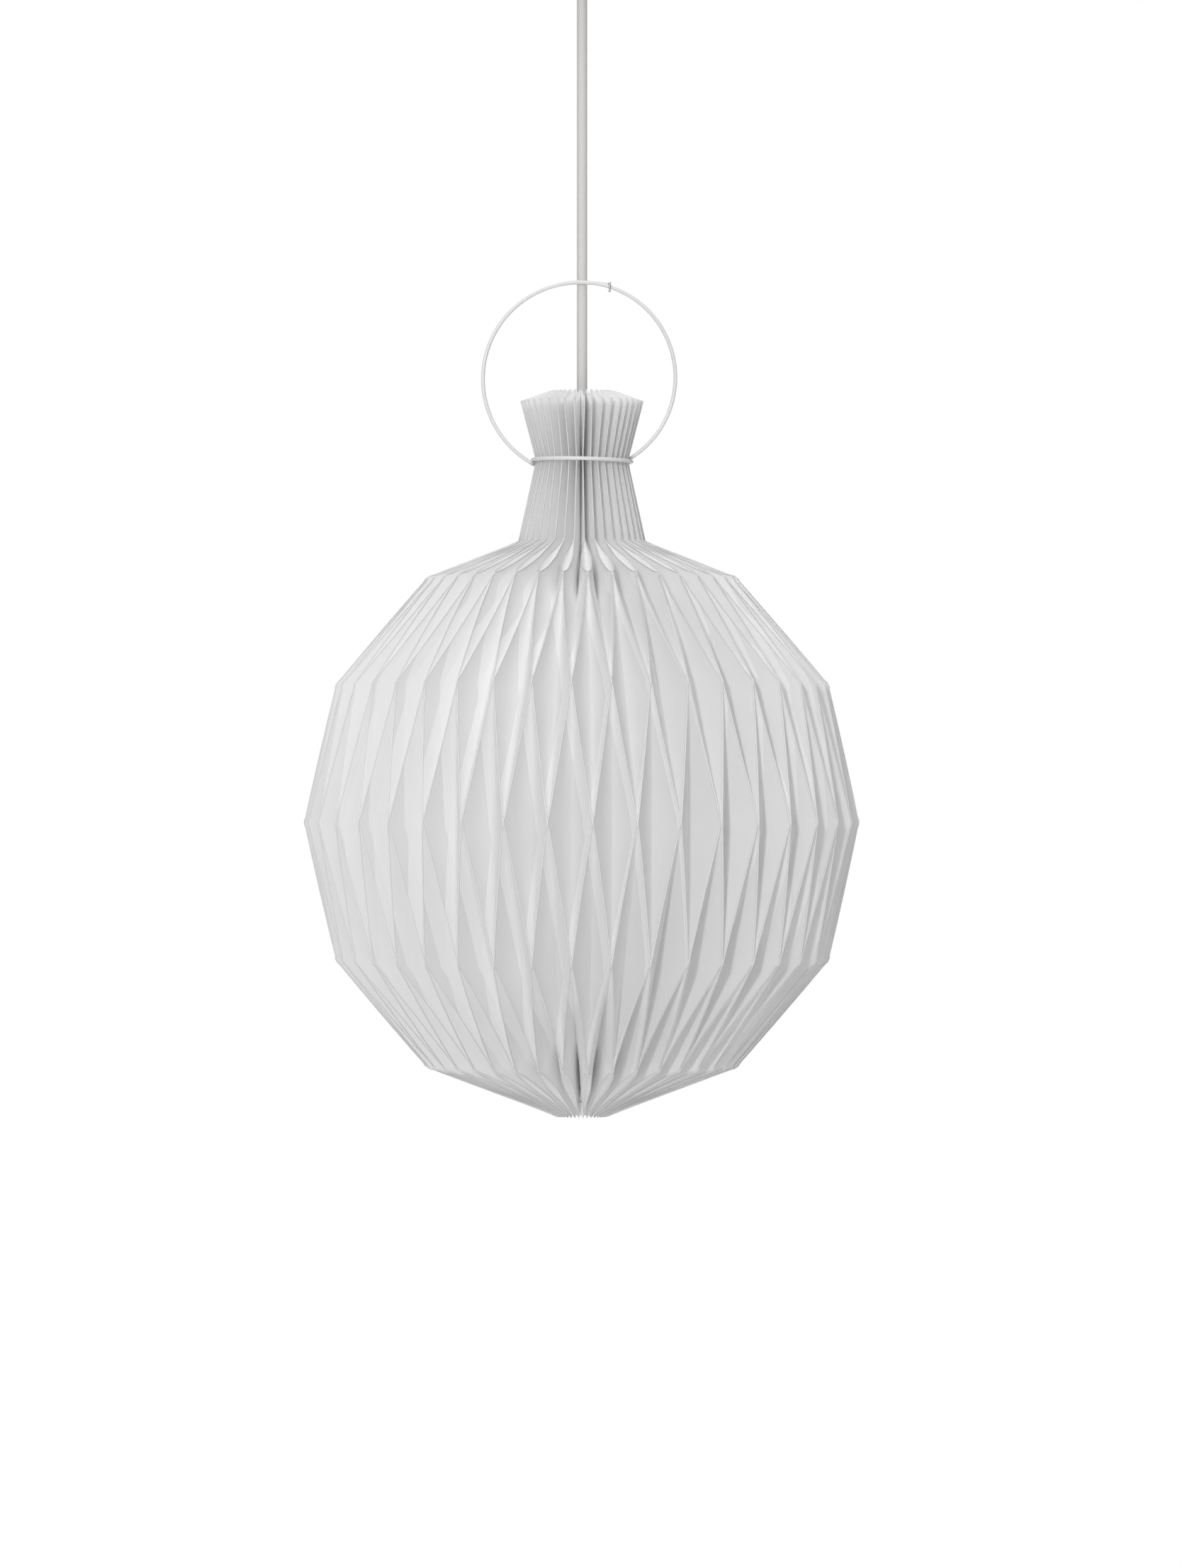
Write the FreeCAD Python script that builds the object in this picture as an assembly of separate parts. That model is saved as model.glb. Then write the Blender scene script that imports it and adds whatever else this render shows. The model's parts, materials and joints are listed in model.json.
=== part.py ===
"""Pendant lamp with a cross-pleated lantern shade, hanging on its cord from a ceiling bracket.

Millimetres, +Z up. The origin is the middle of the bracket's face on the ceiling, so the lamp
hangs below z = 0. One STEP file is written per sub-part, in parts/.
"""
import FreeCAD, Part
import math
import os

Vec = FreeCAD.Vector

# ---- Driving dimensions -------------------------------------------------------------------

EQUATOR_Z = -565.0            # height of the shade's widest level
PLEATS = 40                   # pleats round the shade
PLEAT_TURN = 2.2              # degrees by which the pleats are turned about the axis
CORD_R = 3.15                 # round two-core pendant cord
GAP = 0.3                     # clearance between bodies that move past each other

EQUATOR_R = 170.0             # radius of the fold crossings, level by level
SIDE_R, SIDE_H = 150.9, 84.2
SHOULDER_R, SHOULDER_H = 95.1, 149.6
NECK_FOOT_R, NECK_FOOT_H = 39.0, 172.2
WAIST_R, WAIST_H = 28.3, 221.2
RIM_R, RIM_H = 37.7, 257.6
TIP_R, TIP_H = 15.6, -180.0

VALLEY_SHOULDER_R, VALLEY_SHOULDER_H = 86.9, 129.3
VALLEY_FOOT_R, VALLEY_FOOT_H = 19.0, 157.0
VALLEY_WAIST_R = 5.8
VALLEY_RIM_R, VALLEY_RIM_H = 19.5, 264.1
VALLEY_TIP_R, VALLEY_TIP_H = 7.0, -158.7

CUP_R, CUP_DEPTH, CUP_WALL = 50.0, 36.0, 1.6
CUP_TOP_Z = -0.3
GRIP_END_Z = -57.0
LINK_TOP_Z, LINK_END_Z = -92.0, -104.0

RING_X = -1.0                 # middle of the handle's ring, and the height of each leg's arc
LEFT_RING_H, RIGHT_RING_H = 271.3, 272.1
WIRE_R, CORE_R = 1.15, 0.6
WAIST_WIRE_R = 30.3
BEND_R = 2.5


def above_equator(height):
    return EQUATOR_Z + height


# ---- Helpers ------------------------------------------------------------------------------

def revolve(outline):
    """A solid of revolution about Z from (radius, z) points, closed back to the first point."""
    points = [Vec(r, 0, z) for r, z in outline]
    face = Part.Face(Part.makePolygon(points + points[:1]))
    return face.revolve(Vec(0, 0, 0), Vec(0, 0, 1), 360)


def cylinder(radius, low_z, high_z, x=0.0, y=0.0):
    return Part.makeCylinder(radius, high_z - low_z, Vec(x, y, low_z))


def tube(outer_r, inner_r, low_z, high_z):
    return cylinder(outer_r, low_z, high_z).cut(cylinder(inner_r, low_z - 1, high_z + 1))


def box(low, high):
    size = Vec(*high) - Vec(*low)
    return Part.makeBox(size.x, size.y, size.z, Vec(*low))


def sweep(edges, radius):
    """A round bar along a path of tangent lines and arcs."""
    path = Part.Wire(edges)
    start = edges[0].valueAt(edges[0].FirstParameter)
    direction = edges[0].tangentAt(edges[0].FirstParameter)
    profile = Part.Wire(Part.makeCircle(radius, start, direction))
    solid = path.makePipeShell([profile], True, True)
    return Part.Solid(solid) if solid.ShapeType != "Solid" else solid


def line(start, end):
    return Part.LineSegment(start, end).toShape()


def arc_from(start, tangent, normal, radius, angle):
    """An arc leaving start along tangent and turning towards normal, with its end and end tangent."""
    def point(turn):
        return start + tangent * (radius * math.sin(turn)) + normal * (radius * (1 - math.cos(turn)))
    edge = Part.Arc(start, point(angle / 2), point(angle)).toShape()
    end_tangent = tangent * math.cos(angle) + normal * math.sin(angle)
    return edge, point(angle), end_tangent


def save(node, shape):
    if not shape.isValid():
        raise ValueError(node + " is not a valid shape")
    shape.exportStep("parts/" + node + ".step")
    print(node, "volume", round(shape.Volume, 1), "solids", len(shape.Solids))


# ---- Ceiling bracket, cord clamp and terminals (they stay on the ceiling) -------------------

STRAP_LENGTH, STRAP_WIDTH, STRAP_T = 90.0, 22.0, 1.5
SCREW_HOLE_R, SCREW_SPACING = 2.25, 80.0
TAB_HALF_W, TAB_END_Z, TAB_NOTCH_X = 11.0, -27.0, 2.0
BLOCK_X0, BLOCK_X1, BLOCK_HALF_W, BLOCK_END_Z = 16.0, 37.0, 9.0, -12.5
POLE_Y, POLE_Z = 4.85, -6.0
TERMINAL_XS = (25.0, 33.0)
BLOCK_SCREW_X = 29.0
SADDLE_TOP_Z, SADDLE_END_Z = -14.0, -26.0
CLAMP_SCREW_X, CLAMP_SCREW_Z = 7.5, -20.0
CLAMP_HOLE_R, CLAMP_SCREW_R, CLAMP_SCREW_LENGTH = 1.6, 1.5, 12.5
SADDLE_FRONT_Y, SADDLE_BACK_Y = -6.5, 1.0
TERMINAL_BORE_R, TERMINAL_HOLE_R, TERMINAL_SCREW_R = 1.9, 1.7, 1.4
INSERT_X, INSERT_LENGTH, INSERT_R, INSERT_BORE_R = 22.0, 14.0, 1.88, 1.2
BLOCK_SCREW_R, BLOCK_SCREW_LENGTH, BLOCK_SINK_DEPTH = 1.25, 9.6, 2.5
JACKET_END_Z = -12.0
CONDUCTOR_R, CONDUCTOR_BEND_R = 1.0, 4.0
CONDUCTOR_RISE, CONDUCTOR_RUN, CONDUCTOR_LEAN = 2.0, 17.0, 10.0


def clamp_hole(side):
    """The hole through the tab and the clamp block for one of the clamp's screws."""
    start = Vec(side * CLAMP_SCREW_X, SADDLE_FRONT_Y - 1, CLAMP_SCREW_Z)
    return Part.makeCylinder(CLAMP_HOLE_R, CORD_R + STRAP_T - SADDLE_FRONT_Y + 2, start, Vec(0, 1, 0))


def ceiling_bracket():
    strap = box((-STRAP_LENGTH / 2, -STRAP_WIDTH / 2, -STRAP_T), (STRAP_LENGTH / 2, STRAP_WIDTH / 2, 0))
    tab = box((-TAB_HALF_W, CORD_R, TAB_END_Z), (TAB_HALF_W, CORD_R + STRAP_T, -STRAP_T))
    tab = tab.cut(box((TAB_NOTCH_X, CORD_R - 1, JACKET_END_Z - 0.5), (TAB_HALF_W + 1, CORD_R + 3, -STRAP_T)))
    bracket = strap.fuse(tab)
    for side in (-1, 1):
        bracket = bracket.cut(cylinder(SCREW_HOLE_R, -STRAP_T - 1, 1, side * SCREW_SPACING / 2))
        bracket = bracket.cut(clamp_hole(side))
    bracket = bracket.cut(cylinder(BLOCK_SCREW_R + 0.05, -STRAP_T - 1, -0.4, BLOCK_SCREW_X))
    corners = [e for e in bracket.Edges if abs(e.BoundBox.XLength) + abs(e.BoundBox.YLength) < 0.01
               and abs(abs(e.CenterOfMass.x) - STRAP_LENGTH / 2) < 0.01]
    return bracket.makeFillet(4, corners).removeSplitter()


def cord_saddle():
    """The clamp block that presses the cord against the bracket's tab."""
    block = box((-TAB_HALF_W, SADDLE_FRONT_Y, SADDLE_END_Z), (TAB_HALF_W, SADDLE_BACK_Y, SADDLE_TOP_Z))
    block = block.cut(cylinder(CORD_R, SADDLE_END_Z - 1, SADDLE_TOP_Z + 1))
    block = block.cut(box((-CORD_R, 0, SADDLE_END_Z - 1), (CORD_R, 3, SADDLE_TOP_Z + 1)))
    for side in (-1, 1):
        block = block.cut(clamp_hole(side))
    return block


def slotted_screw(shank_r, head_r, head_h, length, place, direction):
    """A cheese-head screw whose head's underside is at place, with its shank along direction."""
    shank = Part.makeCylinder(shank_r, length, Vec(0, 0, 0))
    head = Part.makeCylinder(head_r, head_h, Vec(0, 0, -head_h))
    slot = Part.makeBox(2 * head_r + 2, 0.6, 0.8, Vec(-head_r - 1, -0.3, -head_h))
    screw = head.fuse(shank).cut(slot)
    turn = FreeCAD.Rotation(Vec(0, 0, 1), direction)
    screw.Placement = FreeCAD.Placement(place, turn)
    return screw


def saddle_screws():
    screws = []
    for side in (-1, 1):
        place = Vec(side * CLAMP_SCREW_X, SADDLE_FRONT_Y, CLAMP_SCREW_Z)
        screws.append(slotted_screw(CLAMP_SCREW_R, 2.8, 2.0, CLAMP_SCREW_LENGTH, place, Vec(0, 1, 0)))
    return Part.makeCompound(screws)


def terminal_block():
    block = box((BLOCK_X0, -BLOCK_HALF_W, BLOCK_END_Z), (BLOCK_X1, BLOCK_HALF_W, -STRAP_T))
    for side in (-1, 1):
        bore = Part.makeCylinder(TERMINAL_BORE_R, 30, Vec(BLOCK_X0 - 1, side * POLE_Y, POLE_Z), Vec(1, 0, 0))
        block = block.cut(bore)
        for x in TERMINAL_XS:
            block = block.cut(cylinder(TERMINAL_HOLE_R, BLOCK_END_Z - 1, POLE_Z, x, side * POLE_Y))
    block = block.cut(cylinder(1.6, BLOCK_END_Z - 1, 0, BLOCK_SCREW_X))
    return block.cut(cylinder(2.8, BLOCK_END_Z - 1, BLOCK_END_Z + BLOCK_SINK_DEPTH, BLOCK_SCREW_X))


def terminal_inserts():
    """The two brass sleeves that the conductors are clamped in."""
    inserts = []
    for side in (-1, 1):
        start = Vec(INSERT_X, side * POLE_Y, POLE_Z)
        sleeve = Part.makeCylinder(INSERT_R, INSERT_LENGTH, start, Vec(1, 0, 0))
        sleeve = sleeve.cut(Part.makeCylinder(INSERT_BORE_R, INSERT_LENGTH, start, Vec(1, 0, 0)))
        for x in TERMINAL_XS:
            sleeve = sleeve.cut(cylinder(TERMINAL_SCREW_R + 0.05, POLE_Z - 3, POLE_Z, x, side * POLE_Y))
        inserts.append(sleeve)
    return Part.makeCompound(inserts)


def terminal_screws():
    screws = []
    for side in (-1, 1):
        for x in TERMINAL_XS:
            y = side * POLE_Y
            screw = cylinder(TERMINAL_SCREW_R, BLOCK_END_Z + 0.6, POLE_Z - 1.3, x, y)
            slot = box((x - 2, y - 0.25, BLOCK_END_Z), (x + 2, y + 0.25, BLOCK_END_Z + 1.3))
            screws.append(screw.cut(slot))
    return Part.makeCompound(screws)


def block_fixing_screw():
    """The screw through the middle of the terminal block, up into the strap."""
    seat = Vec(BLOCK_SCREW_X, 0, BLOCK_END_Z + BLOCK_SINK_DEPTH)
    return slotted_screw(BLOCK_SCREW_R, 2.5, 1.6, BLOCK_SCREW_LENGTH, seat, Vec(0, 0, 1))


def conductor(side):
    """One insulated core, from the end of the cord's jacket to its terminal."""
    lean = math.radians(CONDUCTOR_LEAN) * side
    outward = Vec(math.cos(lean), math.sin(lean), 0)
    start = Vec(0, side * 1.5, JACKET_END_Z)
    rise = start + Vec(0, 0, CONDUCTOR_RISE)
    bend, bend_end, _ = arc_from(rise, Vec(0, 0, 1), outward, CONDUCTOR_BEND_R, math.pi / 2)
    run = line(bend_end, bend_end + outward * CONDUCTOR_RUN)
    return sweep([line(start, rise), bend, run], CONDUCTOR_R)


def cord_top():
    return cylinder(CORD_R, LINK_TOP_Z, JACKET_END_Z)


# ---- Canopy cup (slides down the cord to reach the terminals) -------------------------------

FLANGE_R, FLANGE_T = 10.0, 6.0
SPOUT_R = 7.0
GRUB_HOLE_R, GRUB_R, GRUB_LENGTH = 1.5, 1.45, 8.0


def canopy_cup():
    low = CUP_TOP_Z - CUP_DEPTH
    outline = [
        (CUP_R, CUP_TOP_Z),
        (CUP_R - 1.5, low + 9),
        (CUP_R - 3.5, low + 3.5),
        (CUP_R - 9, low),
        (SPOUT_R, low),
        (SPOUT_R, low + CUP_WALL),
        (CUP_R - 9 - CUP_WALL / 3, low + CUP_WALL),
        (CUP_R - 3.5 - CUP_WALL, low + 3.5 + CUP_WALL / 2),
        (CUP_R - 1.5 - CUP_WALL, low + 9),
        (CUP_R - CUP_WALL, CUP_TOP_Z),
    ]
    return revolve(outline)


def canopy_cord_grip():
    """A bush through the cup's floor, with a flange inside and a tapered spout outside."""
    floor = CUP_TOP_Z - CUP_DEPTH
    inside = floor + CUP_WALL
    outline = [
        (CORD_R + GAP, inside + FLANGE_T),
        (FLANGE_R, inside + FLANGE_T),
        (FLANGE_R, inside),
        (SPOUT_R, inside),
        (SPOUT_R, floor - 2),
        (CORD_R + 1.4, GRIP_END_Z),
        (CORD_R + GAP, GRIP_END_Z),
    ]
    grip = revolve(outline)
    hole = Part.makeCylinder(GRUB_HOLE_R, FLANGE_R, Vec(CORD_R, 0, inside + FLANGE_T / 2), Vec(1, 0, 0))
    return grip.cut(hole)


def canopy_grub_screw():
    height = CUP_TOP_Z - CUP_DEPTH + CUP_WALL + FLANGE_T / 2
    start = Vec(CORD_R + GAP, 0, height)
    end_x = CORD_R + GAP + GRUB_LENGTH
    screw = Part.makeCylinder(GRUB_R, GRUB_LENGTH, start, Vec(1, 0, 0))
    slot = box((end_x - 1, -0.3, height - 2), (end_x + 1, 0.3, height + 2))
    return screw.cut(slot)


# ---- Cord below the canopy ------------------------------------------------------------------

CORD_END_H = 141.0


def cord_link():
    """The short stretch that bends when the lamp swings."""
    return cylinder(CORD_R, LINK_END_Z, LINK_TOP_Z)


def cord_main():
    return cylinder(CORD_R, above_equator(CORD_END_H), LINK_END_Z)


# ---- Lampholder and the collar that carries the shade ---------------------------------------

HOLDER_R = 20.0
HOLDER_WALL = 2.0
CAP_TOP_H, CAP_END_H, SKIRT_END_H = 150.0, 118.0, 86.0
NIPPLE_R, NIPPLE_TOP_H = 7.6, 157.5
NUT_R, NUT_LOW_H, NUT_TOP_H = 12.0, 154.2, 160.0
RELIEF_END_H = 192.0
COLLAR_LOW_H, COLLAR_TOP_H = 152.2, 154.2
INSERT_TOP_H, INSERT_LOW_H = 127.0, 114.0
RIBS, RIB_R = 24, 0.9
THREAD_PITCH = 3.6
HOLDER_CORE_BEND_R, HOLDER_CORE_TURN = 5.6, 60.0


def lifted(outline):
    return [(r, above_equator(h)) for r, h in outline]


def holder_cord_grip():
    """The nut that clamps the collar, with its tapered strain relief round the cord."""
    return revolve(lifted([
        (CORD_R, NIPPLE_TOP_H + 0.3),
        (NIPPLE_R + 0.1, NIPPLE_TOP_H + 0.3),
        (NIPPLE_R + 0.1, NUT_LOW_H),
        (NUT_R, NUT_LOW_H),
        (NUT_R, NUT_TOP_H - 1.5),
        (NUT_R - 1.5, NUT_TOP_H),
        (7.6, NUT_TOP_H + 0.5),
        (CORD_R + 1.1, RELIEF_END_H),
        (CORD_R, RELIEF_END_H),
    ]))


def shade_collar():
    """A dished ring under the neck. The inner folds of the shade rest on its cone."""
    return revolve(lifted([
        (NIPPLE_R + 0.2, COLLAR_LOW_H),
        (13.0, COLLAR_LOW_H),
        (19.0, 152.9),
        (34.0, 146.8),
        (34.5, 148.4),
        (19.0, 154.8),
        (13.0, COLLAR_TOP_H),
        (NIPPLE_R + 0.2, COLLAR_TOP_H),
    ]))


def holder_cap():
    outer = [
        (CORD_R + 0.2, NIPPLE_TOP_H),
        (NIPPLE_R, NIPPLE_TOP_H),
        (NIPPLE_R, COLLAR_LOW_H),
        (10.0, COLLAR_LOW_H),
        (11.0, CAP_TOP_H),
        (15.5, CAP_TOP_H - 2.5),
        (18.8, CAP_TOP_H - 7.0),
        (HOLDER_R, CAP_TOP_H - 13.0),
        (HOLDER_R, CAP_END_H),
    ]
    inner = [
        (HOLDER_R - HOLDER_WALL, CAP_END_H),
        (HOLDER_R - HOLDER_WALL, CAP_TOP_H - 13.5),
        (17.0, CAP_TOP_H - 8.0),
        (14.5, CAP_TOP_H - 4.2),
        (10.5, CAP_TOP_H - 2.2),
        (CORD_R + 0.2, CAP_TOP_H - 2.2),
    ]
    return revolve(lifted(outer + inner))


def holder_skirt():
    """The lower shell, with grip ribs round it, that screws up into the cap."""
    skirt = revolve(lifted([
        (HOLDER_R - HOLDER_WALL, CAP_END_H),
        (HOLDER_R, CAP_END_H),
        (HOLDER_R, SKIRT_END_H + 1.5),
        (HOLDER_R - 1.5, SKIRT_END_H),
        (HOLDER_R - 3.5, SKIRT_END_H),
        (HOLDER_R - HOLDER_WALL, SKIRT_END_H + 3),
    ]))
    for i in range(RIBS):
        turn = math.radians(360 / RIBS * i)
        rib = cylinder(RIB_R, above_equator(SKIRT_END_H + 6), above_equator(CAP_END_H - 6),
                       HOLDER_R * math.cos(turn), HOLDER_R * math.sin(turn))
        skirt = skirt.cut(rib)
    return skirt


def holder_insert():
    """The insulating core that the contacts are fixed to."""
    core = revolve(lifted([
        (0, INSERT_TOP_H),
        (16.5, INSERT_TOP_H),
        (17.7, INSERT_TOP_H - 2.0),
        (17.7, INSERT_LOW_H + 3.5),
        (15.2, INSERT_LOW_H + 3.5),
        (15.2, INSERT_LOW_H),
        (0, INSERT_LOW_H),
    ]))
    for side in (-1, 1):
        core = core.cut(cylinder(1.4, above_equator(120), above_equator(INSERT_TOP_H + 1), side * 7.0))
    return core


def thread_shell():
    """The threaded sleeve of the lampholder, drawn with its thread as rounded rings."""
    outline = [(14.9, INSERT_LOW_H), (14.9, 90.5), (14.4, 90.5)]
    for ring in range(6):
        height = 91.5 + THREAD_PITCH * ring
        outline += [(14.0, height), (13.45, height + 0.9), (13.45, height + 1.8), (14.0, height + 2.7)]
    return revolve(lifted(outline + [(14.4, INSERT_LOW_H)]))


def centre_contact():
    return cylinder(3.0, above_equator(INSERT_LOW_H - 1.2), above_equator(INSERT_LOW_H))


def holder_conductors():
    """The two cores inside the cap, from the cord's end to the contacts."""
    cores = []
    for side in (-1, 1):
        start = Vec(side * 1.4, 0, above_equator(CORD_END_H))
        turn = math.radians(HOLDER_CORE_TURN)
        first, middle, tangent = arc_from(start, Vec(0, 0, -1), Vec(side, 0, 0), HOLDER_CORE_BEND_R, turn)
        back = Vec(-side * math.cos(turn), 0, -math.sin(turn))
        second, end, _ = arc_from(middle, tangent, back, HOLDER_CORE_BEND_R, turn)
        cores.append(sweep([first, second, line(end, Vec(end.x, 0, above_equator(122)))], CONDUCTOR_R))
    return Part.makeCompound(cores)


# ---- Lamp bulb (screws out; modelled as sliding down) ---------------------------------------

BULB_R, BULB_CENTRE_H = 30.0, 37.0
BULB_WALL = 1.5
DOME_CUT_H = 50.0             # where the envelope meets the bulb's body
BODY_TOP_H, SCREW_CAP_TOP_H, TIP_TOP_H = 88.0, 110.5, 112.4


def bulb_dome():
    """The opal envelope, a hollow ball cut off at its neck."""
    ball = Part.makeSphere(BULB_R, Vec(0, 0, above_equator(BULB_CENTRE_H)))
    hollow = Part.makeSphere(BULB_R - BULB_WALL, Vec(0, 0, above_equator(BULB_CENTRE_H)))
    above = cylinder(BULB_R + 5, above_equator(DOME_CUT_H), above_equator(BULB_CENTRE_H + BULB_R + 5))
    return ball.cut(hollow).cut(above)


def bulb_body():
    """The cone between the envelope and the screw cap."""
    edge = math.sqrt(BULB_R ** 2 - (DOME_CUT_H - BULB_CENTRE_H) ** 2)
    return revolve(lifted([
        (0, DOME_CUT_H),
        (edge, DOME_CUT_H),
        (edge - 0.6, DOME_CUT_H + 4.0),
        (18.5, 74.0),
        (15.5, 84.0),
        (13.8, BODY_TOP_H),
        (0, BODY_TOP_H),
    ]))


def bulb_screw_cap():
    outline = [(0, BODY_TOP_H), (12.6, BODY_TOP_H)]
    for ring in range(5):
        height = 90.2 + THREAD_PITCH * ring
        outline += [(12.6, height), (13.1, height + 0.9), (13.1, height + 1.8), (12.6, height + 2.7)]
    return revolve(lifted(outline + [(12.6, 108.0), (8.0, SCREW_CAP_TOP_H), (0, SCREW_CAP_TOP_H)]))


def bulb_tip():
    return revolve(lifted([(0, SCREW_CAP_TOP_H), (5.0, SCREW_CAP_TOP_H), (3.6, TIP_TOP_H), (0, TIP_TOP_H)]))


# ---- Pleated shade --------------------------------------------------------------------------

SHEET_SHIFT = 0.7             # how far the inner skin lies inside the outer one on the body
NECK_SHIFT = 1.9              # the same in the neck, where the folds' sides are nearly radial

# Each corner is (radius, height above the equator, inner skin's shift in radius and in height).
EVEN_LINE = {
    "tip": (TIP_R, TIP_H, -0.4, SHEET_SHIFT),
    "low_shoulder": (SHOULDER_R, -SHOULDER_H, -0.5, SHEET_SHIFT),
    "equator": (EQUATOR_R, 0.0, -SHEET_SHIFT, 0.0),
    "shoulder": (SHOULDER_R, SHOULDER_H, -0.5, -SHEET_SHIFT),
    "foot": (NECK_FOOT_R, NECK_FOOT_H, -NECK_SHIFT, -1.0),
    "waist": (WAIST_R, WAIST_H, -NECK_SHIFT, 0.0),
    "rim": (RIM_R, RIM_H, -NECK_SHIFT, 0.4),
}
ODD_LINE = {
    "low_valley_tip": (VALLEY_TIP_R, VALLEY_TIP_H, -0.4, SHEET_SHIFT),
    "low_valley": (VALLEY_SHOULDER_R, -VALLEY_SHOULDER_H, -0.4, SHEET_SHIFT),
    "low_side": (SIDE_R, -SIDE_H, -SHEET_SHIFT, 0.3),
    "side": (SIDE_R, SIDE_H, -SHEET_SHIFT, -0.3),
    "valley": (VALLEY_SHOULDER_R, VALLEY_SHOULDER_H, -0.4, -SHEET_SHIFT),
    "valley_foot": (VALLEY_FOOT_R, VALLEY_FOOT_H, -1.4, -0.9),
    "valley_waist": (VALLEY_WAIST_R, WAIST_H, -NECK_SHIFT, 0.0),
    "valley_rim": (VALLEY_RIM_R, VALLEY_RIM_H, -NECK_SHIFT, 0.4),
}
# The facets between an even fold line and the odd one beside it, from the bottom to the top.
FACETS = (
    ("tip", "low_valley_tip", "low_valley"),
    ("tip", "low_valley", "low_shoulder"),
    ("low_shoulder", "low_valley", "low_side"),
    ("low_shoulder", "low_side", "equator"),
    ("low_side", "side", "equator"),
    ("equator", "side", "shoulder"),
    ("shoulder", "side", "valley"),
    ("shoulder", "valley", "foot"),
    ("foot", "valley", "valley_foot"),
    ("foot", "valley_foot", "waist"),
    ("waist", "valley_foot", "valley_waist"),
    ("waist", "valley_waist", "rim"),
    ("rim", "valley_waist", "valley_rim"),
)


def corner(name, half_step, inner):
    """One fold corner. Even lines have even half steps, odd lines odd ones."""
    radius, height, shift_r, shift_h = {**EVEN_LINE, **ODD_LINE}[name]
    if inner:
        radius += shift_r
        height += shift_h
    turn = math.radians(PLEAT_TURN) + math.pi / PLEATS * half_step
    return Vec(radius * math.cos(turn), radius * math.sin(turn), above_equator(height))


def flat_face(points):
    return Part.Face(Part.makePolygon(list(points) + [points[0]]))


def pleated_shade():
    """A closed thin shell with an outer and an inner skin of flat facets."""
    faces = []
    for even in range(0, 2 * PLEATS, 2):
        for odd in (even - 1, even + 1):
            steps = {name: even for name in EVEN_LINE}
            steps.update({name: odd for name in ODD_LINE})
            for inner in (False, True):
                for facet in FACETS:
                    faces.append(flat_face([corner(n, steps[n], inner) for n in facet]))
            for a, b in (("rim", "valley_rim"), ("tip", "low_valley_tip")):
                outer_a, outer_b = corner(a, steps[a], False), corner(b, steps[b], False)
                inner_a, inner_b = corner(a, steps[a], True), corner(b, steps[b], True)
                faces.append(flat_face([outer_a, outer_b, inner_b]))
                faces.append(flat_face([outer_a, inner_b, inner_a]))
    shell = Part.Shell(faces)
    shell.sewShape()
    solid = Part.Solid(shell)
    if solid.Volume < 0:
        solid.reverse()
    return solid


TIE_R, TIE_THREAD_R, TIE_H = 12.4, 0.45, -170.5


def bottom_tie():
    """The thread drawn through the pleats to gather the bottom."""
    return Part.makeTorus(TIE_R, TIE_THREAD_R, Vec(0, 0, above_equator(TIE_H)), Vec(0, 0, 1))


# ---- Wire handle round the neck ---------------------------------------------------------------

TURN_PITCH = 2 * WIRE_R + 0.2
CROSSING_Y = CORD_R + WIRE_R + GAP + 0.1
LEFT_ARC, RIGHT_ARC = 151.5, 158.0
FIRST_LEVEL, SECOND_LEVEL = 0.75 * TURN_PITCH, 0.25 * TURN_PITCH   # of the half turns, from the waist
SLEEVE_RUN = 10.5
HOOK_BEND_R = 1.4
HOOK_RUN, HOOK_ACROSS, HOOK_DROP = 2.6, 8.9, 4.4


def half_turn(start_x, side_y, low, high):
    """Half a turn of the wire round the neck, rising from low to high, past the back or the front."""
    start = Vec(start_x, 0, above_equator(WAIST_H + low))
    end = Vec(-start_x, 0, above_equator(WAIST_H + high))
    middle = (start + end) * 0.5
    radius = (end - start).Length / 2
    return Part.Arc(start, middle + Vec(0, side_y * radius, 0), end).toShape()


def leg(side, height, ring_h, crossing_y, arc_angle):
    """The bend at the neck and the big arc of one leg, as edges from the neck to the top.

    The big arc is centred on the ring's middle, seen from the front, and leans a little so that
    it passes the cord at crossing_y.
    """
    start = Vec(side * WAIST_WIRE_R, 0, above_equator(WAIST_H + height))
    to_middle = Vec(RING_X, 0, above_equator(ring_h)) - start
    slope = math.atan2(to_middle.z, side * to_middle.x) - math.acos(BEND_R / to_middle.Length)
    outward = Vec(side * math.cos(slope), 0, math.sin(slope))
    inward = Vec(-side * math.sin(slope), 0, math.cos(slope))
    bend, bend_end, _ = arc_from(start, Vec(0, -1, 0), outward, BEND_R, math.pi / 2)
    radius = math.sqrt(to_middle.Length ** 2 - BEND_R ** 2)
    turn_to_cord = math.pi - slope
    lean = math.asin((crossing_y - bend_end.y) / (radius * (1 - math.cos(turn_to_cord))))
    normal = inward * math.cos(lean) + Vec(0, math.sin(lean), 0)
    big, big_end, tangent = arc_from(bend_end, outward, normal, radius, math.radians(arc_angle))
    return [bend, big], big_end, tangent


def reversed_edges(edges):
    flipped = []
    for edge in reversed(edges):
        first, last = edge.valueAt(edge.FirstParameter), edge.valueAt(edge.LastParameter)
        middle = edge.valueAt((edge.FirstParameter + edge.LastParameter) / 2)
        flipped.append(Part.Arc(last, middle, first).toShape())
    return flipped


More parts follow.
